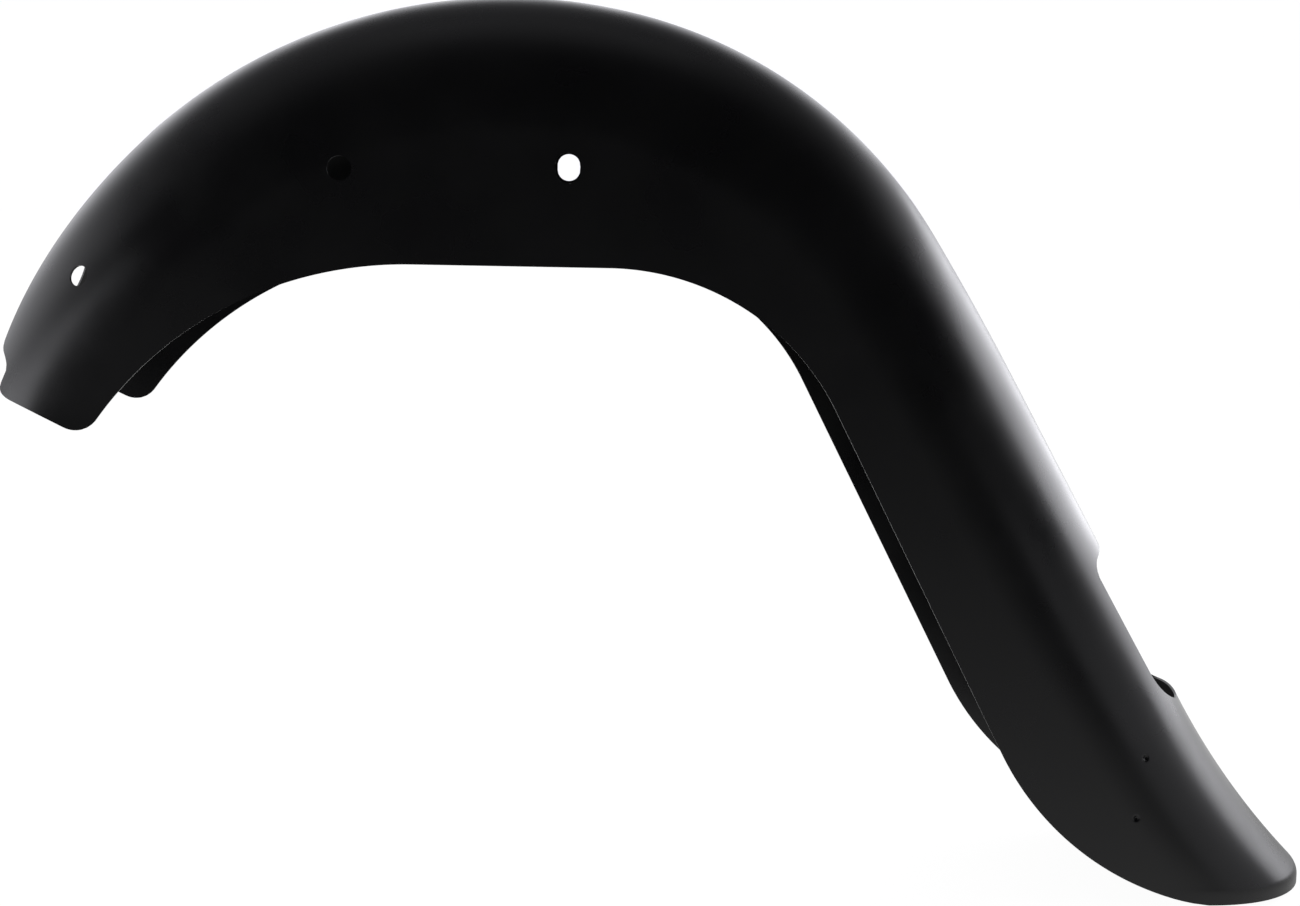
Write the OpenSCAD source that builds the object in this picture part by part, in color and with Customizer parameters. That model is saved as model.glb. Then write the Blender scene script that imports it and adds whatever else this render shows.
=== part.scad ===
// Rear fender of a motorcycle, pressed and welded from one skin of steel sheet.
// Millimetres. +X points to the rear of the machine, +Z up, and Y = 0 is the mid-plane.
// The origin is on the axis of the front strut bolts.
//
// Two rails in the XZ plane carry the shell: the crown rail runs along the top centre line, and
// the edge rail along the bottom edge of the side walls. Both start at the front end. A section
// spans from the crown rail down to the edge rail, half-round above and flat at the sides.

/* [Sheet] */
// Thickness of the steel sheet
sheet_t = 1.6; // [1.2:0.1:2.5]

/* [Width and arch] */
// Outside width across the walls at the strut bolts
body_w = 190; // [176:1:210]
// How much narrower than that the shell is at the front end
front_narrowing = 16; // [8:1:24]
// How much wider than that the shell is at the tail
tail_flare = 4; // [0:1:12]
// Height of the half-round crown at the front end
front_arch = 86; // [70:1:95]
// Height of the half-round crown over the wheel
body_arch = 92; // [70:1:100]
// Height of the half-round crown at the tail
tail_arch = 80; // [65:1:90]
// How much fuller than half-round the shoulders are at the front end
front_shoulder = 6; // [0:0.5:8]

/* [Crown rail] */
// Distance of the crown's front end ahead of the front strut bolts
crown_front_x = 257.5; // [250:0.5:265]
// Drop of the crown's front end below the front strut bolts
crown_front_z = 132.9; // [126:0.5:140]
// Slope of the crown rail at its front end, in degrees
crown_slope = 65.8; // [63:0.1:68]
// Radius of the front quarter of the crown
crown_front_r = 447; // [435:0.5:460]
// Turn of the front quarter, in degrees
crown_front_turn = 27.7; // [26:0.1:29]
// Radius of the crown over the wheel
crown_top_r = 378; // [370:1:386]
// Turn of the crown over the wheel, in degrees
crown_top_turn = 52.1; // [50:0.1:54]
// Radius of the crown behind the wheel's top
crown_rear_r = 341; // [333:1:349]
// Turn behind the wheel's top, in degrees
crown_rear_turn = 44; // [42.5:0.1:45.5]
// Radius where the crown eases into its straight run
crown_ease_r = 2070; // [1800:10:2400]
// Turn where the crown eases into its straight run, in degrees
crown_ease_turn = 3.3; // [2:0.1:4]
// Length of the straight run down the back
crown_run = 270; // [255:1:285]
// Radius of the outward sweep of the tail
tail_sweep_r = 598; // [540:1:660]
// Turn of the outward sweep, in degrees
tail_sweep_turn = 15; // [12:0.1:17]
// Radius of the roll that turns the tail lip down
lip_r = 11; // [8:0.5:16]
// Depth of the straight stretch of the tail lip
lip_drop = 5; // [3:0.5:8]

/* [Edge rail] */
// Distance of the front bottom corner ahead of the front strut bolts, before rounding
edge_front_x = 174.5; // [168:0.5:180]
// Drop of the front bottom corner below the front strut bolts, before rounding
edge_front_z = 177; // [172:0.5:182]
// Radius of the rounded front bottom corner
corner_r = 17; // [10:1:22]
// Slope of the wall edge just behind the corner, in degrees
edge_slope = 53.1; // [52:0.1:55]
// Radius of the wheel arch at the front
edge_front_r = 257.5; // [250:0.5:265]
// Turn of the wheel arch at the front, in degrees
edge_front_turn = 54.3; // [53.5:0.1:55]
// Length of the nearly level run over the wheel
edge_top_run = 130; // [120:1:140]
// Radius of the arch behind the wheel's top
edge_rear_r = 173; // [167:1:179]
// Turn of the arch behind the wheel's top, in degrees
edge_rear_turn = 62.4; // [61.5:0.1:63.2]
// Length of the straight run down the back
edge_run = 268; // [260:1:276]
// Radius of the sweep to the tail's bottom edge
edge_sweep_r = 209; // [202:1:216]
// Turn of the sweep to the tail's bottom edge, in degrees
edge_sweep_turn = 53.5; // [52.5:0.1:54.5]

/* [Strut bolts] */
// Diameter of the front strut bolt hole
strut_hole_d = 16; // [12:0.5:20]
// Distance from the front hole back to the rear slot
strut_pitch = 148.5; // [140:0.5:156]
// Width of the rear strut slot
strut_slot_w = 17; // [13:0.5:19]
// Height of the rear strut slot
strut_slot_h = 20; // [19.5:0.5:24]

/* [Shoulder holes] */
// Diameter of the bolt hole in each front shoulder
shoulder_hole_d = 14; // [8:0.5:18]
// Distance of the shoulder hole behind the crown's front end, along the crown rail
shoulder_hole_s = 101; // [80:1:110]
// Angle of the shoulder hole from the crown's top centre line, in degrees
shoulder_hole_a = 57.5; // [56:0.5:64]

/* [Front cut-out] */
// Width of the slot in the front of the crown, at its closed end
slot_end_w = 58; // [46:1:70]
// Width of the slot where it opens into the mouth
slot_front_w = 122; // [100:1:126]
// Distance of the slot's closed end behind the crown's front end, along the crown rail
slot_end_s = 211; // [190:1:225]
// Width of the slot's mouth, between the two ears
mouth_w = 143; // [132:1:146]
// Distance of the mouth's shoulders behind the crown's front end, along the crown rail
mouth_s = 25; // [18:1:32]
// Corner radius of the mouth's shoulders
mouth_r = 8; // [4:0.5:9]
// How far the ears lean ahead of a square front edge, at the crown's centre line
front_lean = 20; // [8:1:26]

/* [Lamp opening] */
// Width of the tail lamp opening
lamp_w = 110; // [80:1:120]
// Length of the tail lamp opening, along the crown rail
lamp_len = 127; // [90:1:135]
// Corner radius of the tail lamp opening
lamp_r = 32; // [10:1:39]
// Distance of the opening's lower end above the start of the outward sweep
lamp_end_s = 6; // [-10:1:40]

/* [Tail holes] */
// Diameter of the small holes in the tail walls
tail_hole_d = 5; // [3:0.5:8]
// Distance of the upper small hole behind the front strut bolts
tail_upper_x = 549; // [530:0.5:560]
// Drop of the upper small hole below the front strut bolts
tail_upper_z = 407.5; // [395:0.5:425]
// Distance of the lower small hole behind the front strut bolts
tail_lower_x = 541.5; // [520:0.5:550]
// Drop of the lower small hole below the front strut bolts
tail_lower_z = 448.5; // [435:0.5:460]

/* [Hidden] */

front_w = body_w - front_narrowing;
tail_w = body_w + tail_flare;
front_fade = 200;   // stretch of the crown rail over which the front's own width and tilt fade out
shoulder_fade = 260; // stretch over which the fuller shoulders fade out
tail_fade = 340;    // stretch of the crown rail over which the tail's own width and arch fade in
turn_fade = 215;    // stretch over which the sections turn to lie in the tail's bottom edge
cells_across = 26;  // cells across a section, an even number
cell_len = 22;      // length of a cell along the crown rail
paint = [0.03, 0.03, 0.035];

// A rail is a start point, a start slope and pieces of [turn in degrees, length].
function arc_piece(r, turn) = [turn, r*abs(turn)*PI/180];
function piece_end(p, slope, piece, s) =
    let (turn = piece[0]*s/piece[1],
         chord = abs(piece[0]) < 1e-6 ? s : 2*piece[1]*180/PI/piece[0]*sin(turn/2))
    [p[0] + chord*cos(slope + turn/2), p[1] + chord*sin(slope + turn/2), slope + turn];
function along(pieces, p, s, i = 0) =
    s <= pieces[i][1] || i == len(pieces) - 1
        ? piece_end(p, p[2], pieces[i], s)
        : along(pieces, piece_end(p, p[2], pieces[i], pieces[i][1]), s - pieces[i][1], i + 1);
function total(pieces, upto, i = 0) = i >= upto ? 0 : pieces[i][1] + total(pieces, upto, i + 1);
function ease(x) = let (c = min(1, max(0, x))) c*c*(3 - 2*c);
function heading(from, to) = atan2(to[1] - from[1], to[0] - from[0]);

// Crown rail. Its last two pieces are the lip: a roll until it hangs straight down, and a drop.
sweep_slope = crown_slope - crown_front_turn - crown_top_turn - crown_rear_turn
    - crown_ease_turn + tail_sweep_turn;
crown = [arc_piece(crown_front_r, -crown_front_turn), arc_piece(crown_top_r, -crown_top_turn),
         arc_piece(crown_rear_r, -crown_rear_turn), arc_piece(crown_ease_r, -crown_ease_turn),
         [0, crown_run], arc_piece(tail_sweep_r, tail_sweep_turn),
         arc_piece(lip_r, -90 - sweep_slope), [0, lip_drop]];
crown_start = [-crown_front_x, -crown_front_z, crown_slope];
run_end_s = total(crown, 5);
lip_s = total(crown, 6);
crown_len = total(crown, 8);
crown_end = along(crown, crown_start, crown_len);

// Edge rail. It starts on the front edge, where the rounding of the bottom corner starts.
corner = [-edge_front_x, -edge_front_z];
front_edge_slope = heading(crown_start, corner);
corner_turn = edge_slope - front_edge_slope;
corner_cut = corner_r*tan(corner_turn/2);
edge_start = [corner[0] - corner_cut*cos(front_edge_slope),
              corner[1] - corner_cut*sin(front_edge_slope), front_edge_slope];
edge = [arc_piece(corner_r, corner_turn), arc_piece(edge_front_r, -edge_front_turn),
        [0, edge_top_run], arc_piece(edge_rear_r, -edge_rear_turn),
        [0, edge_run], arc_piece(edge_sweep_r, edge_sweep_turn)];
edge_len = total(edge, len(edge));
edge_end = along(edge, edge_start, edge_len);

// Direction of the section that starts at distance s on the crown rail: square to the crown, but
// along the front edge at the front end and along the bottom edge at the tail.
function crown_at(s) = along(crown, crown_start, s);
function square_dir(s) = crown_at(min(s, lip_s))[2] - 90;
front_tilt = front_edge_slope - square_dir(0);
tail_heading = heading(crown_end, edge_end);
tail_dir = tail_heading > 0 ? tail_heading - 360 : tail_heading;   // it points down and forward
function section_dir(s) =
    let (front = ease(1 - s/front_fade), tail = ease((s - crown_len + turn_fade)/turn_fade))
    (square_dir(s) + front_tilt*front)*(1 - tail) + tail_dir*tail;

// Distance on the edge rail where the section meets it, by halving the stretch it lies on.
function side_of(c, dir, s) =
    let (e = along(edge, edge_start, s)) (e[0] - c[0])*sin(dir) - (e[1] - c[1])*cos(dir);
function meet(c, dir, low, high, rounds = 22) =
    rounds == 0 ? (low + high)/2
        : let (mid = (low + high)/2)
          side_of(c, dir, mid) > 0 ? meet(c, dir, mid, high, rounds - 1)
                                   : meet(c, dir, low, mid, rounds - 1);

function half_width(s) = (body_w + (front_w - body_w)*ease(1 - s/front_fade)
    + (tail_w - body_w)*ease((s - crown_len + tail_fade)/tail_fade))/2;
function arch_height(s) = body_arch + (front_arch - body_arch)*ease(1 - s/front_fade)
    + (tail_arch - body_arch)*ease((s - crown_len + tail_fade)/tail_fade);

function shoulder(s) = front_shoulder*ease(1 - s/shoulder_fade);

// One section as points from the left wall's edge over the crown to the right wall's edge. They
// are spread evenly: round the arch, which a slanting section stretches, and down the wall. The
// shoulder pushes the arch outward, most at 45 degrees and not at all at its top and its foot.
function section(s) =
    let (c = crown_at(s),
         dir = section_dir(s),
         e = s <= 0 ? edge_start : s >= crown_len ? edge_end
             : along(edge, edge_start, meet(c, dir, 0, edge_len)),
         depth = norm([e[0] - c[0], e[1] - c[1]]),
         b = half_width(s),
         h = arch_height(s)/cos(dir - square_dir(s)),
         round_a = depth < h ? acos(1 - depth/h) : 90,
         round_len = round_a*PI/180*(b + h)/2,
         len_all = round_len + max(0, depth - h),
         lean = front_lean*pow(max(0, 1 - s/front_fade), 2))
    [for (i = [-cells_across/2 : cells_across/2])
        let (t = abs(i)*2/cells_across*len_all,
             a = min(round_a, round_a*t/round_len),
             push = shoulder(s)*pow(sin(2*a), 2),
             y = (b + push)*sin(a),
             d = h*(1 - cos(a)) - push*cos(a) + max(0, t - round_len),
             fwd = lean*(1 - y/b))
        [c[0] + d*cos(dir) - fwd*cos(c[2]), sign(i)*y, c[1] + d*sin(dir) - fwd*sin(c[2])]];

// Stations along the crown rail: close together at the rounded corner, even down to the lip, and
// close together round the lip.
corner_len = 24;
corner_cells = 6;
body_cells = ceil((lip_s - corner_len)/cell_len);
lip_cells = 5;
stations = concat([for (i = [0 : corner_cells - 1]) corner_len*pow(i/corner_cells, 2)],
                  [for (i = [0 : body_cells - 1]) corner_len + (lip_s - corner_len)*i/body_cells],
                  [for (i = [0 : lip_cells]) lip_s + (crown_len - lip_s)*i/lip_cells]);
outer = [for (s = stations) section(s)];

// The inner skin lies one sheet thickness inside, along the normal of the outer skin.
rows = len(stations);
cols = cells_across + 1;
function unit(v) = v/norm(v);
function inner_point(i, j) =
    let (ahead = outer[min(i + 1, rows - 1)][j] - outer[max(i - 1, 0)][j],
         across = outer[i][min(j + 1, cols - 1)] - outer[i][max(j - 1, 0)])
    outer[i][j] - sheet_t*unit(cross(ahead, across));
inner = [for (i = [0 : rows - 1]) [for (j = [0 : cols - 1]) inner_point(i, j)]];

module shell() {
    points = [for (skin = [outer, inner]) for (row = skin) for (p = row) p];
    function at(skin, i, j) = (skin*rows + i)*cols + j;
    function quad(a, b, c, d) = [[a, b, c], [a, c, d]];
    faces = concat(
        [for (i = [0 : rows - 2]) for (j = [0 : cols - 2])
            each quad(at(0, i, j), at(0, i, j + 1), at(0, i + 1, j + 1), at(0, i + 1, j))],
        [for (i = [0 : rows - 2]) for (j = [0 : cols - 2])
            each quad(at(1, i, j), at(1, i + 1, j), at(1, i + 1, j + 1), at(1, i, j + 1))],
        [for (i = [0 : rows - 2])
            each quad(at(0, i, 0), at(0, i + 1, 0), at(1, i + 1, 0), at(1, i, 0))],
        [for (i = [0 : rows - 2])
            each quad(at(0, i, cols - 1), at(1, i, cols - 1), at(1, i + 1, cols - 1), at(0, i + 1, cols - 1))],
        [for (j = [0 : cols - 2])
            each quad(at(0, 0, j), at(1, 0, j), at(1, 0, j + 1), at(0, 0, j + 1))],
        [for (j = [0 : cols - 2])
            each quad(at(0, rows - 1, j), at(0, rows - 1, j + 1), at(1, rows - 1, j + 1), at(1, rows - 1, j))]);
    polyhedron(points, faces);
}

module on_crown(s) {
    c = crown_at(s);
    translate([c[0], 0, c[1]]) rotate([0, -c[2], 0]) children();
}

module rounded_plate(length, width, r, thick) {
    translate([0, 0, -thick/2]) linear_extrude(thick) {
        square([length - 2*r, width], center = true);
        square([length, width - 2*r], center = true);
        for (x = [-1, 1]) for (y = [-1, 1])
            translate([x*(length/2 - r), y*(width/2 - r)]) circle(r, $fn = 64);
    }
}

cut_depth = 96; // reach of the crown cutters through the curved sheet, inside and outside together

module strut_holes() {
    wide = max(body_w, tail_w) + 20;
    rotate([90, 0, 0]) cylinder(d = strut_hole_d, h = wide, center = true, $fn = 64);
    rise = (strut_slot_h - strut_slot_w)/2;
    for (z = [-rise, rise])
        translate([strut_pitch, 0, z]) rotate([90, 0, 0])
            cylinder(d = strut_slot_w, h = wide, center = true, $fn = 64);
    translate([strut_pitch, 0, 0]) cube([strut_slot_w, wide, 2*rise], center = true);
}

module shoulder_holes() {
    s = shoulder_hole_s;
    a = shoulder_hole_a;
    push = shoulder(s)*pow(sin(2*a), 2);
    b = half_width(s) + push;
    h = arch_height(s) + push;
    tilt = atan2(h*sin(a), b*cos(a));
    for (side = [-1, 1])
        on_crown(s) translate([0, side*b*sin(a), push - h*(1 - cos(a))]) rotate([-side*tilt, 0, 0])
            cylinder(d = shoulder_hole_d, h = 24, center = true, $fn = 64);
}

// A slot that widens from its rounded closed end to the mouth. The cutters stand square to the
// crown half way along the slot.
module front_cutout() {
    mid_s = slot_end_s/2;
    mid = crown_at(mid_s);
    function run(s) = let (c = crown_at(s)) (c[0] - mid[0])*cos(mid[2]) + (c[1] - mid[1])*sin(mid[2]);
    r = slot_end_w/2;
    end_x = run(slot_end_s) - r;
    front_x = run(mouth_s);
    far = norm([end_x - front_x, slot_front_w/2]);
    taper = atan2(slot_front_w/2, end_x - front_x) - asin(r/far);
    side = [[front_x - 10, slot_front_w/2], [front_x, slot_front_w/2],
            [end_x + r*sin(taper), r*cos(taper)]];
    ahead = run(0) - front_lean - 60;
    on_crown(mid_s) {
        translate([0, 0, -cut_depth/2]) linear_extrude(cut_depth) {
            translate([end_x, 0]) circle(r, $fn = 96);
            polygon([side[0], side[1], side[2], [side[2][0], -side[2][1]],
                     [side[1][0], -side[1][1]], [side[0][0], -side[0][1]]]);
        }
        translate([(ahead + front_x)/2, 0, 0]) rounded_plate(front_x - ahead, mouth_w, mouth_r, cut_depth);
    }
}

module lamp_opening() {
    on_crown(run_end_s - lamp_end_s - lamp_len/2) rounded_plate(lamp_len, lamp_w, lamp_r, cut_depth);
}

module tail_holes() {
    for (place = [[tail_upper_x, tail_upper_z], [tail_lower_x, tail_lower_z]])
        translate([place[0], 0, -place[1]]) rotate([90, 0, 0])
            cylinder(d = tail_hole_d, h = tail_w + 20, center = true, $fn = 32);
}

module fender() {
    color(paint) difference() {
        shell();
        strut_holes();
        shoulder_holes();
        front_cutout();
        lamp_opening();
        tail_holes();
    }
}

fender();
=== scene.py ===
import math

import bpy
import numpy as np
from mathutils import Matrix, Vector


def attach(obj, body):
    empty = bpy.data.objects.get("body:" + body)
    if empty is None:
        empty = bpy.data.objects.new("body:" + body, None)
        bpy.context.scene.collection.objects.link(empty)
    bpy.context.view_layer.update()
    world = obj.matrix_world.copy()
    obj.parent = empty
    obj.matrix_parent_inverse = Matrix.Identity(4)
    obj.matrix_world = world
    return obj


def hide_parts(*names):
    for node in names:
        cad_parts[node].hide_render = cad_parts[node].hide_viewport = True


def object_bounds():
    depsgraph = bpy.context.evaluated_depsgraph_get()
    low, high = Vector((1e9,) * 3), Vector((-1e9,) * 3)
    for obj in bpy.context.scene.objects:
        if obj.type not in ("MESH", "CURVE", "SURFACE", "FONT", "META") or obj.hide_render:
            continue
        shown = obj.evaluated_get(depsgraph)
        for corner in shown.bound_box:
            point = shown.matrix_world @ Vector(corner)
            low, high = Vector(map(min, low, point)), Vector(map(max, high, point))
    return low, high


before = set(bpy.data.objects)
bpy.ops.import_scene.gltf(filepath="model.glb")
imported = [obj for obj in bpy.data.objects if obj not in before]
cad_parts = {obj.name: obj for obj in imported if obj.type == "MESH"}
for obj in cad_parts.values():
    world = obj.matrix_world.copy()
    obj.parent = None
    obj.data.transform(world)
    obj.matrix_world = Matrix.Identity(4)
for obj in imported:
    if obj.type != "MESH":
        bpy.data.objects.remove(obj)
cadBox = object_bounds()
print("frame loaded")


def srgb(hexColour):
    # hex to linear: c/12.92 below 0.04045, else ((c + 0.055)/1.055)^2.4
    parts = [int(hexColour[i:i + 2], 16)/255 for i in (1, 3, 5)]
    return tuple(c/12.92 if c < 0.04045 else ((c + 0.055)/1.055)**2.4 for c in parts) + (1.0,)


def emptyTree(owner):
    owner.use_nodes = True
    owner.node_tree.nodes.clear()
    return owner.node_tree


def addNode(tree, kind, settings=None, links=None):
    # settings name a property of the node or one of its inputs, links name an input
    node = tree.nodes.new(kind)
    for name, value in (settings or {}).items():
        if isinstance(name, str) and hasattr(node, name):
            setattr(node, name, value)
        else:
            node.inputs[name].default_value = value
    for name, socket in (links or {}).items():
        tree.links.new(socket, node.inputs[name])
    return node


def ease(x):
    # 3x^2 - 2x^3 between 0 and 1, flat outside
    c = np.clip(x, 0, 1)
    return c*c*(3 - 2*c)


# The shell is a sheet between two rails in the XZ plane: the crown's centre line and the wall's
# bottom edge. All of it is in millimetres and turns to metres when the mesh is made.
shell = {
    "sheet": 1.6,
    "frontWidth": 174, "bodyWidth": 190, "tailWidth": 194,   # outside, across the walls
    "frontArch": 86, "bodyArch": 92, "tailArch": 80,         # height of the half-round crown
    "frontShoulder": 6, "frontLean": 20,
    "frontFade": 200, "shoulderFade": 260, "tailFade": 340, "turnFade": 215,
    "crownStart": (-257.5, -132.9, 65.8),                    # x, z, slope in degrees
    "crownPieces": [(-27.7, 447), (-52.1, 378), (-44, 341), (-3.3, 2070)],   # turn, radius
    "crownRun": 270, "tailSweep": (15, 598), "lipRadius": 11, "lipDrop": 5,
    "corner": (-174.5, -177), "cornerRadius": 17, "edgeSlope": 53.1,
    "edgeFront": (-54.3, 257.5), "edgeTopRun": 130, "edgeRear": (-62.4, 173),
    "edgeRun": 268, "edgeSweep": (53.5, 209),
    "edgeRound": 0.5, "edgeSegments": 2, "edgeAngle": 50,    # the coat rounds every cut edge
}

# the grid over the shell, and how closely it is fitted to the outlines and the small holes
meshing = {
    "rowStep": 4.3, "lipRows": 10, "halfColumns": 63,
    "halvings": 40,                                          # in the search along the edge rail
    "reach": 1.428, "steps": 8, "probe": 0.05, "leastSlope": 0.2,
    "holeSteps": 12, "probeS": 0.1, "probeU": 0.0005,
    "rings": 4, "pitRings": 5, "pitCore": 0.15,              # the pit's last ring, of its radius
    "wallFrom": 40, "otherSide": 1000,                       # keeps a hole to its own side
}


def arc(piece):
    # an arc is radius times turn long, with the turn in radians
    turn, radius = piece
    return (turn, radius*abs(turn)*math.pi/180)


def makeRail(start, pieces):
    # each piece is (turn, length); its chord is 2 r sin(turn/2), at the slope half way
    rows = [(0.0,) + tuple(start)]
    for turn, length in pieces:
        s, x, z, slope = rows[-1]
        half = math.radians(turn/2)
        chord = length if turn == 0 else length*math.sin(half)/half
        heading = math.radians(slope) + half
        rows.append((s + length, x + chord*math.cos(heading), z + chord*math.sin(heading),
                     slope + turn))
    return {"rows": np.array(rows), "pieces": np.array(pieces, float), "length": rows[-1][0]}


def along(rail, s):
    # x, z and slope at distance s: the part of the piece that s lies on, as one chord
    s = np.asarray(s, float)
    rows, pieces = rail["rows"], rail["pieces"]
    i = np.clip(np.searchsorted(rows[:, 0], s, side="right") - 1, 0, len(pieces) - 1)
    done = s - rows[i, 0]
    half = np.radians(pieces[i, 0]*done/pieces[i, 1])/2
    chord = done*np.sinc(half/math.pi)
    heading = np.radians(rows[i, 3]) + half
    return (rows[i, 1] + chord*np.cos(heading), rows[i, 2] + chord*np.sin(heading),
            rows[i, 3] + 2*np.degrees(half))


def bearing(a, b):
    # slope in degrees of the line from a to b
    return math.degrees(math.atan2(b[1] - a[1], b[0] - a[0]))


hangSlope = (shell["crownStart"][2] + sum(turn for turn, _ in shell["crownPieces"])
             + shell["tailSweep"][0])
crown = makeRail(shell["crownStart"], [arc(p) for p in shell["crownPieces"]]
                 + [(0, shell["crownRun"]), arc(shell["tailSweep"]),
                    arc((-90 - hangSlope, shell["lipRadius"])), (0, shell["lipDrop"])])
runEnd, lipStart = crown["rows"][5, 0], crown["rows"][6, 0]
frontSlope = bearing(shell["crownStart"], shell["corner"])
cornerCut = shell["cornerRadius"]*math.tan(math.radians(shell["edgeSlope"] - frontSlope)/2)
edge = makeRail(shell["corner"] + (shell["edgeSlope"],),
                [(0, cornerCut), arc(shell["edgeFront"]), (0, shell["edgeTopRun"]),
                 arc(shell["edgeRear"]), (0, shell["edgeRun"]), arc(shell["edgeSweep"])])
tailSlope = bearing(crown["rows"][-1, 1:3], edge["rows"][-1, 1:3]) - 360


def squareSlope(s):
    # a quarter turn below the crown's slope; round the lip it stays as where the lip starts
    return along(crown, np.minimum(s, lipStart))[2] - 90


def sectionSlope(s):
    # square to the crown, but along the front edge in front and along the bottom edge at the tail
    front = ease(1 - s/shell["frontFade"])
    tail = ease((s - crown["length"] + shell["turnFade"])/shell["turnFade"])
    return (squareSlope(s) + (frontSlope - squareSlope(0.0))*front)*(1 - tail) + tailSlope*tail


def between(s, front, body, tail):
    # eases from the front's value to the body's, and from there to the tail's
    start = ease(1 - s/shell["frontFade"])
    end = ease((s - crown["length"] + shell["tailFade"])/shell["tailFade"])
    return body + (front - body)*start + (tail - body)*end


def meetEdge(s):
    # halves the stretch of the edge rail that the section's line crosses, again and again
    x, z, _ = along(crown, s)
    slope = np.radians(sectionSlope(s))
    low, high = np.zeros_like(s), np.full_like(s, edge["length"])
    for _ in range(meshing["halvings"]):
        middle = (low + high)/2
        ex, ez, _ = along(edge, middle)
        ahead = (ex - x)*np.sin(slope) - (ez - z)*np.cos(slope) > 0
        low, high = np.where(ahead, middle, low), np.where(ahead, high, middle)
    middle = np.where(s <= 0, 0, np.where(s >= crown["length"], edge["length"], (low + high)/2))
    return along(edge, middle)[:2]


def sectionValues(s):
    # The section's depth is its line from crown to edge. Its round part turns by
    # acos(1 - depth/arch), a quarter turn at most, and is turn (half + arch)/2 long; the flat
    # wall is the depth beyond the arch. Shoulder and lean fade out behind the front.
    x, z, slope = along(crown, s)
    ex, ez = meetEdge(s)
    down = sectionSlope(s)
    depth = np.hypot(ex - x, ez - z)
    half = between(s, shell["frontWidth"], shell["bodyWidth"], shell["tailWidth"])/2
    arch = between(s, shell["frontArch"], shell["bodyArch"], shell["tailArch"])
    arch = arch/np.cos(np.radians(down - squareSlope(s)))
    turn = np.arccos(np.clip(1 - depth/arch, 0, 1))
    roundLength = turn*(half + arch)/2
    return {"x": x, "z": z, "slope": np.radians(slope), "down": np.radians(down), "half": half,
            "arch": arch, "turn": turn, "roundLength": roundLength,
            "length": roundLength + np.maximum(0, depth - arch),
            "shoulder": shell["frontShoulder"]*ease(1 - s/shell["shoulderFade"]),
            "lean": shell["frontLean"]*np.maximum(0, 1 - s/shell["frontFade"])**2}


def sectionLength(s):
    # from the crown to the wall's edge, measured round the section
    return sectionValues(np.asarray(s, float))["length"]


def skinPoint(s, u):
    # u runs from -1 at the left wall's edge over the crown to 1. With t the way down from the
    # crown: y = (half + push) sin a, depth = arch (1 - cos a) - push cos a + the wall's part of
    # t, where a grows with t up to 90 degrees and push = shoulder sin^2 2a
    v = sectionValues(np.asarray(s, float))
    t = np.abs(u)*v["length"]
    a = np.minimum(v["turn"], v["turn"]*t/v["roundLength"])
    push = v["shoulder"]*np.sin(2*a)**2
    y = (v["half"] + push)*np.sin(a)
    depth = v["arch"]*(1 - np.cos(a)) - push*np.cos(a) + np.maximum(0, t - v["roundLength"])
    forward = v["lean"]*(1 - y/v["half"])
    return np.stack([v["x"] + depth*np.cos(v["down"]) - forward*np.cos(v["slope"]), np.sign(u)*y,
                     v["z"] + depth*np.sin(v["down"]) - forward*np.sin(v["slope"])], -1)


# Openings are outlines in a flat frame. Each distance is above 0 in the metal, below 0 outside it.
openings = {
    "slotEnd": 211, "slotEndWidth": 58, "slotFrontWidth": 122,
    "farRelief": 8, "farReliefAt": 76, "farReliefReach": 30,   # right-hand edge only, see below
    "mouthDepth": 25, "mouthWidth": 143, "mouthRadius": 8, "mouthAhead": 100,
    "shoulderSoft": 7, "earRadius": 7,
    "lampWidth": 113, "lampLength": 127, "lampTopRadius": 11, "lampFootRadius": 36, "lampGap": 6,
    "rearFrom": 300, "noOutline": 99.0,                        # x of the rear part, far distance
}


def crownFrame(point, s):
    # distance ahead along the crown's slope at s, and to the side
    x, z, slope = along(crown, s)
    slope = np.radians(slope)
    return (point[..., 0] - x)*np.cos(slope) + (point[..., 2] - z)*np.sin(slope), point[..., 1]


def railRun(at, middle):
    # how far ahead the crown's point at "at" lies, along its slope at the middle
    x, z, _ = along(crown, at)
    x0, z0, slope = along(crown, middle)
    return float((x - x0)*np.cos(np.radians(slope)) + (z - z0)*np.sin(np.radians(slope)))


def roundedBox(x, y, halfX, halfY, radius):
    # distance from a box with rounded corners, below 0 in the box
    qx, qy = np.abs(x) - halfX + radius, np.abs(y) - halfY + radius
    return (np.hypot(np.maximum(qx, 0), np.maximum(qy, 0))
            + np.minimum(np.maximum(qx, qy), 0) - radius)


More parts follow.
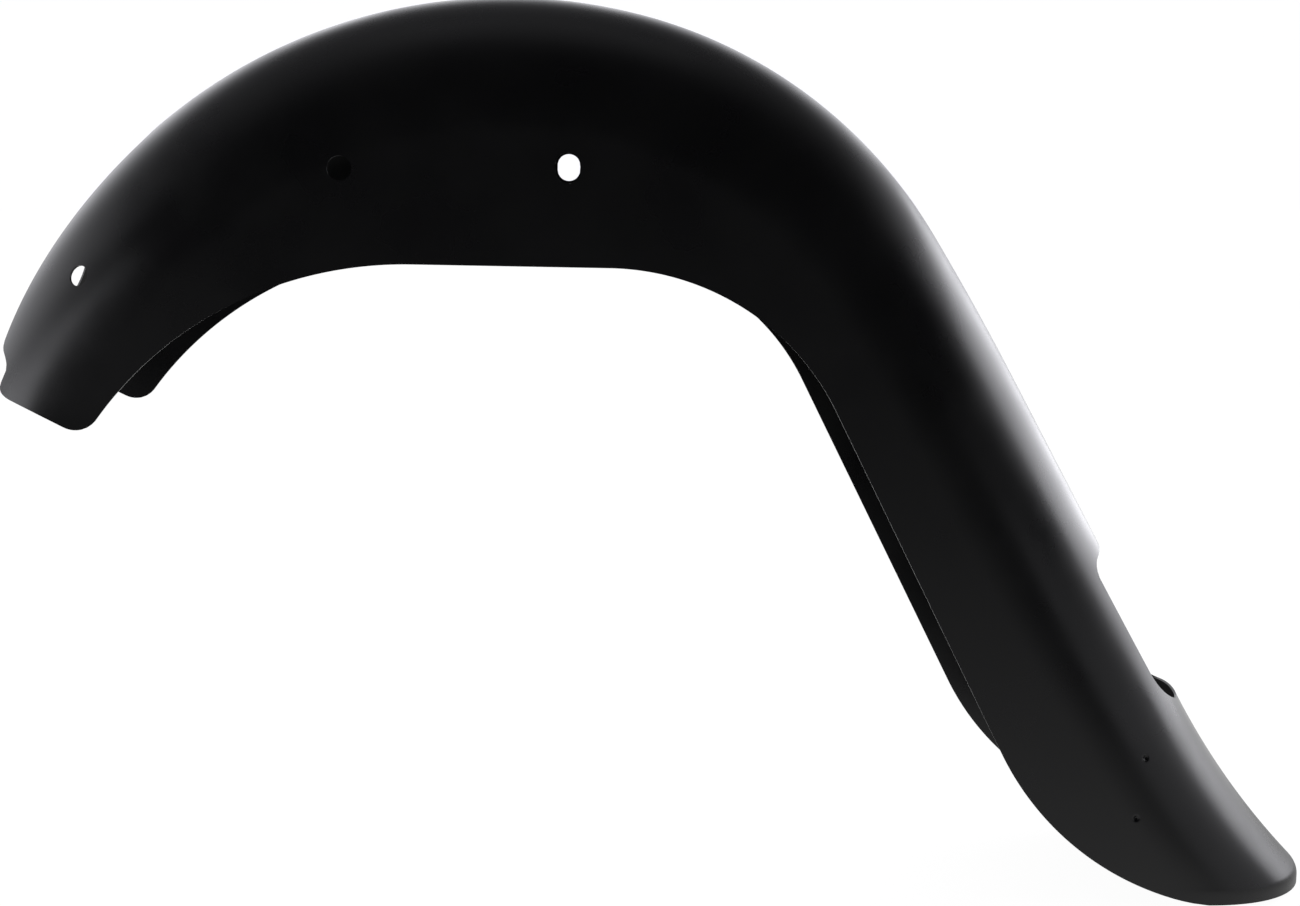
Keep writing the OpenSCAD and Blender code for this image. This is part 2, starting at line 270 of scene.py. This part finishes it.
def frontCutout(point, s):
    # The slot's straight sides narrow to its round end, and the mouth is a box ahead of it. The
    # shoulder between them is rounded by (soft - |slot - mouth|)^2/(4 soft), and the ears by a
    # radius. The relief is a guess: it lets daylight through the left shoulder hole.
    o = openings
    middle = o["slotEnd"]/2
    x, y = crownFrame(point, middle)
    relief = o["farRelief"]*np.exp(-((s - o["farReliefAt"])/o["farReliefReach"])**2)
    y = np.abs(y) - np.where(y > 0, relief, 0)
    radius = o["slotEndWidth"]/2
    endX = railRun(o["slotEnd"], middle) - radius
    frontX = railRun(o["mouthDepth"], middle)
    reach = math.hypot(endX - frontX, o["slotFrontWidth"]/2)
    taper = math.atan2(o["slotFrontWidth"]/2, endX - frontX) - math.asin(radius/reach)
    side = (x - frontX)*math.sin(taper) + (y - o["slotFrontWidth"]/2)*math.cos(taper)
    end = np.hypot(x - endX, y) - radius
    slot = np.where((x - endX)*math.cos(taper) - y*math.sin(taper) > 0, end, side)
    ahead = o["mouthAhead"]
    mouth = roundedBox(x - frontX + ahead, y, ahead, o["mouthWidth"]/2, o["mouthRadius"])
    soft = np.maximum(o["shoulderSoft"] - np.abs(slot - mouth), 0)
    cut = np.minimum(slot, mouth) - soft**2/(4*o["shoulderSoft"])
    r = o["earRadius"]
    ear = r - np.hypot(r - s, r - mouth)
    return np.where((s < r) & (mouth < r), np.minimum(cut, ear), cut)


def lampOpening(point):
    # a rounded box with small corners above and large ones below
    o = openings
    x, y = crownFrame(point, runEnd - o["lampGap"] - o["lampLength"]/2)
    radius = np.where(x < 0, o["lampTopRadius"], o["lampFootRadius"])
    return roundedBox(x, y, o["lampLength"]/2, o["lampWidth"]/2, radius)


def bottomCorner(point):
    # inside the wedge beyond the two tangent points the metal ends on the arc
    front = np.radians(frontSlope)
    wall = np.radians(shell["edgeSlope"])
    outFront = np.array([math.sin(front), -math.cos(front)])
    outWall = np.array([math.sin(wall), -math.cos(wall)])
    r = shell["cornerRadius"]
    x0, z0, _ = along(edge, cornerCut)
    qx, qz = point[..., 0] - (x0 - r*outWall[0]), point[..., 2] - (z0 - r*outWall[1])
    det = outFront[0]*outWall[1] - outFront[1]*outWall[0]
    alongFront = (qx*outWall[1] - qz*outWall[0])/det
    alongWall = (qz*outFront[0] - qx*outFront[1])/det
    return np.where((alongFront > 0) & (alongWall > 0), r - np.hypot(qx, qz),
                    openings["noOutline"])


def metalDistance(s, u):
    # the nearer of cut-out and corner in front, the lamp opening at the rear
    point = skinPoint(s, u)
    front = np.minimum(frontCutout(point, s), bottomCorner(point))
    return np.where(point[..., 0] > openings["rearFrom"], lampOpening(point), front)


# Small holes each sit in a block of cells that is opened and filled again with rings. The two
# marks in the tail show dark with no light through them, so they are pits pressed into the sheet.
holes = {
    "strutHole": {"centre": (0.0, 0.0), "radius": 8, "rise": 0.0, "block": 4},
    "strutSlot": {"centre": (148.5, 0.0), "radius": 8.5, "rise": 1.5, "block": 4},
    "upperTailMark": {"centre": (549, -407.5), "radius": 3, "rise": 0.0, "block": 2,
                      "pressed": 1.6},
    "lowerTailMark": {"centre": (541.5, -448.5), "radius": 3, "rise": 0.0, "block": 2,
                      "pressed": 1.6},
    "shoulderHole": {"onCrown": 101, "angle": 57.5, "radius": 7, "rise": 0.0, "block": 3},
}
slotEnds = 5   # how soon round its outline a slot reaches its full rise


def holeFrame(hole, side):
    # origin and two directions of the plane that the hole's outline lies in
    if "centre" in hole:
        x, z = hole["centre"]
        return np.array([x, 0.0, z]), np.array([1.0, 0, 0]), np.array([0, 0, 1.0])
    values = sectionValues(np.array(float(hole["onCrown"])))
    v = {key: float(value) for key, value in values.items()}
    a = math.radians(hole["angle"])
    push = v["shoulder"]*math.sin(2*a)**2
    half, arch = v["half"] + push, v["arch"] + push
    forward = np.array([math.cos(v["slope"]), 0, math.sin(v["slope"])])
    up = np.array([-math.sin(v["slope"]), 0, math.cos(v["slope"])])
    across = np.array([0.0, side, 0])
    origin = (np.array([v["x"], 0, v["z"]]) + across*half*math.sin(a)
              + up*(push - arch*(1 - math.cos(a))))
    fall = across*half*math.cos(a) - up*arch*math.sin(a)
    return origin, forward, -fall/np.linalg.norm(fall)


def placeInPlane(plane, s, u):
    # the skin's point, measured along the plane's two directions
    origin, e1, e2 = plane
    offset = skinPoint(s, u) - origin
    return np.stack([offset @ e1, offset @ e2], -1)


def solveOnSkin(plane, target, s, u):
    # Newton steps in (s, u) until the point's place in the hole's plane is the target
    stepS, stepU = meshing["probeS"], meshing["probeU"]
    for _ in range(meshing["holeSteps"]):
        now = placeInPlane(plane, s, u)
        ds = (placeInPlane(plane, s + stepS, u) - now)/stepS
        du = (placeInPlane(plane, s, u + stepU) - now)/stepU
        miss = target - now
        det = ds[..., 0]*du[..., 1] - ds[..., 1]*du[..., 0]
        s = s + (miss[..., 0]*du[..., 1] - miss[..., 1]*du[..., 0])/det
        u = u + (ds[..., 0]*miss[..., 1] - ds[..., 1]*miss[..., 0])/det
    return s, u


def makeGrid():
    # equal steps along the crown up to the lip, finer ones round it, equal shares across
    rows = int(round(lipStart/meshing["rowStep"]))
    s = np.concatenate([np.linspace(0, lipStart, rows, endpoint=False),
                        np.linspace(lipStart, crown["length"], meshing["lipRows"] + 1)])
    u = np.linspace(-1, 1, 2*meshing["halfColumns"] + 1)
    return np.meshgrid(s, u, indexing="ij")


def cellCorners(grid):
    # the four corners of every cell, once round
    return np.stack([grid[:-1, :-1], grid[:-1, 1:], grid[1:, 1:], grid[1:, :-1]])


def snapToOutlines(s, u):
    # Points within reach of an outline, and points outside that touch the metal, move onto it by
    # steps of distance/slope^2 against its slope. Cells with a corner left outside are dropped.
    m = meshing
    distance = metalDistance(s, u)
    near = np.abs(distance) < m["reach"]
    padded = np.pad((distance > 0) & ~near, 1)
    beside = np.zeros_like(near)
    for i in range(3):
        for j in range(3):
            beside |= padded[i:i + near.shape[0], j:j + near.shape[1]]
    near |= (distance < 0) & beside
    outside = (distance < 0) & ~near
    atS, atU = s[near], u[near]
    for _ in range(m["steps"]):
        here = metalDistance(atS, atU)
        length = sectionLength(atS)
        slopeS = (metalDistance(atS + m["probe"], atU) - here)/m["probe"]
        slopeU = (metalDistance(atS, atU + m["probe"]/length) - here)/m["probe"]
        scale = here/np.maximum(slopeS**2 + slopeU**2, m["leastSlope"])
        atS = np.clip(atS - scale*slopeS, 0, crown["length"])
        atU = np.clip(atU - scale*slopeU/length, -1, 1)
    s, u = s.copy(), u.copy()
    s[near], u[near] = atS, atU
    middle = metalDistance(cellCorners(s).mean(0), cellCorners(u).mean(0))
    keep = ~cellCorners(outside).any(0) & ~(cellCorners(near).all(0) & (middle < 0))
    return s, u, keep


def holeRings(hole, side, s, u, middle, border):
    # Rings of points go from the block's border to the outline in equal shares. A mark has more
    # of them down to its middle, each pressed in by depth (1 + cos(pi r/radius))/2.
    plane = holeFrame(hole, side)
    borderS, borderU = s.reshape(-1)[border], u.reshape(-1)[border]
    place = placeInPlane(plane, borderS, borderU)
    angle = np.arctan2(place[:, 1], place[:, 0])
    rise = hole["rise"]*np.clip(slotEnds*np.sin(angle), -1, 1)
    outline = np.stack([hole["radius"]*np.cos(angle), hole["radius"]*np.sin(angle) + rise], -1)
    startS, startU = np.full(len(border), s[middle]), np.full(len(border), u[middle])
    rimS, rimU = solveOnSkin(plane, outline, startS, startU)
    share = (np.arange(1, meshing["rings"] + 1)/meshing["rings"])[:, None]
    ringS, ringU = borderS + (rimS - borderS)*share, borderU + (rimU - borderU)*share
    press = np.zeros_like(ringS)
    if "pressed" in hole:
        inner = np.linspace(1, meshing["pitCore"], meshing["pitRings"] + 1)[1:, None, None]
        pitS, pitU = solveOnSkin(plane, outline*inner, startS, startU)
        ringS, ringU = np.concatenate([ringS, pitS]), np.concatenate([ringU, pitU])
        depth = hole["pressed"]*(1 + np.cos(math.pi*inner[..., 0]))/2
        press = np.concatenate([press, -side*depth*np.ones_like(pitS)])
    return ringS, ringU, press


def openHoles(s, u, keep):
    # each hole's block loses its cells, and rings join its border to the outline
    index = np.arange(s.size).reshape(s.shape)
    point = skinPoint(s, u)
    extraS, extraU, extraPress, extraFaces = [], [], [], []
    count = s.size
    for hole in holes.values():
        for side in (-1, 1):
            origin, e1, e2 = holeFrame(hole, side)
            otherSide = side*point[..., 1] < meshing["wallFrom"]
            far = (np.hypot((point - origin) @ e1, (point - origin) @ e2)
                   + meshing["otherSide"]*otherSide)
            i, j = np.unravel_index(far.argmin(), far.shape)
            b = hole["block"]
            keep[i - b:i + b, j - b:j + b] = False
            border = np.concatenate([index[i - b, j - b:j + b], index[i - b:i + b, j + b],
                                     index[i + b, j + b:j - b:-1], index[i + b:i - b:-1, j - b]])
            ringS, ringU, press = holeRings(hole, side, s, u, (i, j), border)
            extraS.append(ringS.reshape(-1))
            extraU.append(ringU.reshape(-1))
            extraPress.append(press.reshape(-1))
            numbers = count + np.arange(ringS.size).reshape(-1, len(border))
            ring = np.concatenate([border[None, :], numbers])
            if "pressed" in hole:   # strips across the pit's last ring close it
                last, n = ring[-1], len(border)
                k = np.arange(n//2 - 1)
                strip = [last[k], last[k + 1], last[n - 2 - k], last[n - 1 - k]]
                extraFaces.append(np.stack(strip, -1))
            count += ringS.size
            after = np.roll(ring, -1, axis=1)
            cells = np.stack([ring[:-1], after[:-1], after[1:], ring[1:]], -1)
            extraFaces.append(cells.reshape(-1, 4))
    return tuple(np.concatenate(part) for part in (extraS, extraU, extraPress, extraFaces))


def makeSkin():
    # the kept cells and the holes' rings as one skin, with no point left unused
    s, u, keep = snapToOutlines(*makeGrid())
    extraS, extraU, extraPress, extraFaces = openHoles(s, u, keep)
    cells = np.moveaxis(cellCorners(np.arange(s.size).reshape(s.shape)), 0, -1)[keep]
    faces = np.concatenate([cells, extraFaces])
    points = skinPoint(np.concatenate([s.reshape(-1), extraS]),
                       np.concatenate([u.reshape(-1), extraU]))
    points[s.size:, 1] += extraPress
    used, faces = np.unique(faces, return_inverse=True)
    return points[used]/1000, faces.reshape(-1, 4)[:, ::-1]   # counter-clockwise from outside


def makeMesh(name, points, faces):
    mesh = bpy.data.meshes.new(name)
    mesh.from_pydata(points.tolist(), [], faces.tolist())
    mesh.polygons.foreach_set("use_smooth", np.ones(len(mesh.polygons), bool))
    mesh.update()
    piece = bpy.data.objects.new(name, mesh)
    bpy.context.scene.collection.objects.link(piece)
    return piece


skinPoints, skinFaces = makeSkin()
fender = makeMesh("fenderShell", skinPoints, skinFaces)
thicken = fender.modifiers.new("sheet", "SOLIDIFY")
thicken.thickness = shell["sheet"]/1000
thicken.offset = -1
thicken.use_even_offset = True
roundOver = fender.modifiers.new("coatedEdges", "BEVEL")
roundOver.limit_method = "ANGLE"
roundOver.angle_limit = math.radians(shell["edgeAngle"])
roundOver.width = shell["edgeRound"]/1000
roundOver.segments = shell["edgeSegments"]
roundOver.harden_normals = True
print("shell:", len(skinPoints), "points,", len(skinFaces), "faces")


# Electrophoretic black primer on pressed steel: dipped and baked, so it is even and satin, with a
# fine orange peel, faint tone clouds and the slow ripple of a pressed sheet.
coat = {
    "deep": "#020203", "worn": "#050506",                    # across the clouds
    "roughness": (0.25, 0.34), "cloudRange": (0.3, 0.7),
    "clouds": (70, 4.0), "ripple": (110, 1.0), "peel": (1.6, 2.0),   # size in mm, detail
    "octaveShare": 0.55,                                     # how much each finer octave counts
    "rippleHeight": 0.05, "peelHeight": 0.004,               # mm
    "ior": 1.5,
}


def makeCoat():
    material = bpy.data.materials.new("satinBlackEcoatOnSteel")
    tree = emptyTree(material)
    place = addNode(tree, "ShaderNodeTexCoord").outputs["Object"]
    clouds, ripple, peel = [
        addNode(tree, "ShaderNodeTexNoise",
                {"Scale": 1000/size, "Detail": detail, "Roughness": coat["octaveShare"]},
                {"Vector": place}).outputs["Fac"]
        for size, detail in (coat["clouds"], coat["ripple"], coat["peel"])]
    tone = addNode(tree, "ShaderNodeMix",
                   {"data_type": "RGBA", 6: srgb(coat["deep"]), 7: srgb(coat["worn"])},
                   {"Factor": clouds})
    gloss = addNode(tree, "ShaderNodeMapRange",
                    {"From Min": coat["cloudRange"][0], "From Max": coat["cloudRange"][1],
                     "To Min": coat["roughness"][0], "To Max": coat["roughness"][1]},
                    {"Value": clouds})
    slow = addNode(tree, "ShaderNodeBump",
                   {"Strength": 1.0, "Distance": coat["rippleHeight"]/1000}, {"Height": ripple})
    fine = addNode(tree, "ShaderNodeBump",
                   {"Strength": 1.0, "Distance": coat["peelHeight"]/1000},
                   {"Height": peel, "Normal": slow.outputs["Normal"]})
    shader = addNode(tree, "ShaderNodeBsdfPrincipled", {"IOR": coat["ior"], "Metallic": 0.0},
                     {"Base Color": tone.outputs[2], "Roughness": gloss.outputs["Result"],
                      "Normal": fine.outputs["Normal"]})
    addNode(tree, "ShaderNodeOutputMaterial", None, {"Surface": shader.outputs["BSDF"]})
    return material


fender.data.materials.append(makeCoat())
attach(fender, "root")
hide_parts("fender")
print("coat and body set")


studio = {
    "floorDrop": 0.0005, "floorSize": 40.0, "floorColour": "#ececea",
    "floorWhite": 0.91, "whiteLevel": 1.05,    # share and strength of the white the camera sees
    "wallTint": "#fafaff",                     # a touch of blue in what the crown reflects
    "poolCentre": (0.5, 0.0), "poolLevel": 0.62, "poolFall": 0.33,   # left after each metre
    "sweepStart": 0.05, "sweepEnd": 0.5,       # behind the object the floor turns to white
    "backWhite": 1.6, "leftMore": 0.35, "frontDark": 0.01, "turn": (-0.45, 0.3), "turnLeft": 0.25,
    "rise": (0.25, 0.65), "ceiling": 0.08, "skyLight": 0.95,
}


def cameraWhite(tree, rays, reflected):
    # camera and transmission rays see plain white, all others see the level they are given
    seen = addNode(tree, "ShaderNodeMath", {"operation": "MAXIMUM"},
                   {0: rays["Is Camera Ray"], 1: rays["Is Transmission Ray"]})
    plain = addNode(tree, "ShaderNodeMath", {"operation": "MULTIPLY", 1: studio["whiteLevel"]},
                    {0: seen.outputs[0]})
    strength = addNode(tree, "ShaderNodeMath", {"operation": "MAXIMUM"},
                       {0: plain.outputs[0], 1: reflected})
    return seen.outputs[0], strength.outputs[0]


def makeFloor():
    # A matt floor that the camera and reflections see mostly as light. A reflection sees a pool
    # of level times fall^metres, which sweeps up to white behind the object.
    low = cadBox[0][2] - studio["floorDrop"]
    half = studio["floorSize"]/2
    points = np.array([[-half, -half, low], [half, -half, low], [half, half, low],
                       [-half, half, low]])
    floor = makeMesh("studioFloor", points, np.array([[0, 1, 2, 3]]))
    material = bpy.data.materials.new("paleMattFloor")
    tree = emptyTree(material)
    rays = addNode(tree, "ShaderNodeLightPath").outputs
    place = addNode(tree, "ShaderNodeTexCoord").outputs["Object"]
    far = addNode(tree, "ShaderNodeVectorMath",
                  {"operation": "DISTANCE", 1: studio["poolCentre"] + (low,)}, {0: place})
    fall = addNode(tree, "ShaderNodeMath", {"operation": "POWER", 0: studio["poolFall"]},
                   {1: far.outputs["Value"]})
    pool = addNode(tree, "ShaderNodeMath", {"operation": "MULTIPLY", 1: studio["poolLevel"]},
                   {0: fall.outputs[0]})
    parts = addNode(tree, "ShaderNodeSeparateXYZ", None, {0: place})
    sweep = addNode(tree, "ShaderNodeMapRange",
                    {"interpolation_type": "SMOOTHSTEP", "From Min": studio["sweepStart"],
                     "From Max": studio["sweepEnd"], "To Min": 0.0, "To Max": 1.0},
                    {"Value": parts.outputs["Y"]})
    under = addNode(tree, "ShaderNodeMath", {"operation": "MAXIMUM"},
                    {0: pool.outputs[0], 1: sweep.outputs["Result"]})
    reflected = addNode(tree, "ShaderNodeMath", {"operation": "MULTIPLY"},
                        {0: under.outputs[0], 1: rays["Is Glossy Ray"]})
    seen, strength = cameraWhite(tree, rays, reflected.outputs[0])
    white = addNode(tree, "ShaderNodeEmission", {"Color": (1, 1, 1, 1)}, {"Strength": strength})
    matt = addNode(tree, "ShaderNodeBsdfDiffuse", {"Color": srgb(studio["floorColour"])})
    shown = addNode(tree, "ShaderNodeMath", {"operation": "MAXIMUM"},
                    {0: seen, 1: rays["Is Glossy Ray"]})
    share = addNode(tree, "ShaderNodeMath", {"operation": "MULTIPLY", 1: studio["floorWhite"]},
                    {0: shown.outputs[0]})
    mix = addNode(tree, "ShaderNodeMixShader", None,
                  {0: share.outputs[0], 1: matt.outputs[0], 2: white.outputs[0]})
    addNode(tree, "ShaderNodeOutputMaterial", None, {"Surface": mix.outputs[0]})
    floor.data.materials.append(material)


def makeWorld():
    # the camera sees white; a reflection sees white walls behind the object and at its sides,
    # which darken towards the ceiling and round to the front, a little further round on the left
    world = bpy.data.worlds.new("studioWorld")
    bpy.context.scene.world = world
    tree = emptyTree(world)
    rays = addNode(tree, "ShaderNodeLightPath").outputs
    direction = addNode(tree, "ShaderNodeTexCoord").outputs["Generated"]
    parts = addNode(tree, "ShaderNodeSeparateXYZ", None, {0: direction})
    back = addNode(tree, "ShaderNodeMath", {"operation": "MULTIPLY_ADD", 1: -studio["turnLeft"]},
                   {0: parts.outputs["X"], 2: parts.outputs["Y"]})
    behind = addNode(tree, "ShaderNodeMapRange",
                     {"interpolation_type": "SMOOTHSTEP", "From Min": studio["turn"][0],
                      "From Max": studio["turn"][1], "To Min": studio["frontDark"],
                      "To Max": studio["backWhite"]}, {"Value": back.outputs[0]})
    above = addNode(tree, "ShaderNodeMapRange",
                    {"interpolation_type": "SMOOTHSTEP", "From Min": studio["rise"][0],
                     "From Max": studio["rise"][1], "To Min": 1.0,
                     "To Max": studio["ceiling"]}, {"Value": parts.outputs["Z"]})
    tilt = addNode(tree, "ShaderNodeMath",
                   {"operation": "MULTIPLY_ADD", 1: -studio["leftMore"], 2: 1.0},
                   {0: parts.outputs["X"]})
    level = addNode(tree, "ShaderNodeMath", {"operation": "MULTIPLY"},
                    {0: behind.outputs["Result"], 1: above.outputs["Result"]})
    wall = addNode(tree, "ShaderNodeMath", {"operation": "MULTIPLY"},
                   {0: level.outputs[0], 1: tilt.outputs[0]})
    reflected = addNode(tree, "ShaderNodeMix", {"data_type": "FLOAT", 2: studio["skyLight"]},
                        {0: rays["Is Glossy Ray"], 3: wall.outputs[0]})
    strength = cameraWhite(tree, rays, reflected.outputs[0])[1]
    shown = addNode(tree, "ShaderNodeBackground", {"Color": srgb(studio["wallTint"])},
                    {"Strength": strength})
    addNode(tree, "ShaderNodeOutputWorld", None, {"Surface": shown.outputs[0]})


# softboxes: place and target in metres, size, and watts
lamps = {
    "overheadBox": {"place": (0.2, 0.3, 2.2), "target": (0.2, 0.0, 0.0),
                    "size": (2.0, 1.0), "watts": 0.4},
    "frontBox": {"place": (-1.75, -0.95, -0.22), "target": (-0.2, 0.0, -0.1),
                 "size": (1.1, 0.8), "watts": 10},
    "rearBox": {"place": (2.0, -0.6, -0.3), "target": (0.6, 0.0, -0.35),
                "size": (1.2, 0.5), "watts": 1},
    "tailBox": {"place": (1.45, 0.65, -0.03), "target": (0.55, 0.0, -0.25),
                "size": (1.2, 0.75), "watts": 7},
}


def makeLamp(name, values):
    # the lamp shines down its own -Z, which is turned from place to target
    light = bpy.data.lights.new(name, "AREA")
    light.shape = "RECTANGLE"
    light.size, light.size_y = values["size"]
    light.energy = values["watts"]
    light.color = srgb(studio["wallTint"])[:3]
    lamp = bpy.data.objects.new(name, light)
    bpy.context.scene.collection.objects.link(lamp)
    x, y, z = np.array(values["target"]) - np.array(values["place"])
    lamp.location = values["place"]
    lamp.rotation_euler = (math.acos(-z/math.sqrt(x*x + y*y + z*z)), 0,
                           math.atan2(y, x) - math.pi/2)


makeFloor()
makeWorld()
for lampName, lampValues in lamps.items():
    makeLamp(lampName, lampValues)
print("studio set")


# the photograph's own viewpoint, 1300 pixels wide at a focal length of 1840 pixels
view = {
    "place": (0.1532, -1.3105, 0.002), "pitchDown": 8.9, "yawRight": 2.3,
    "focalPixels": 1840, "widePixels": 1300, "sensor": 36,
}
cameraData = bpy.data.cameras.new("photoCamera")
cameraData.sensor_fit = "HORIZONTAL"
cameraData.sensor_width = view["sensor"]
cameraData.lens = view["sensor"]*view["focalPixels"]/view["widePixels"]
camera = bpy.data.objects.new("photoCamera", cameraData)
camera.location = view["place"]
camera.rotation_euler = (math.radians(90 - view["pitchDown"]), 0, -math.radians(view["yawRight"]))
bpy.context.scene.collection.objects.link(camera)
bpy.context.scene.camera = camera
bpy.context.scene.view_settings.view_transform = "Standard"
print("camera set")
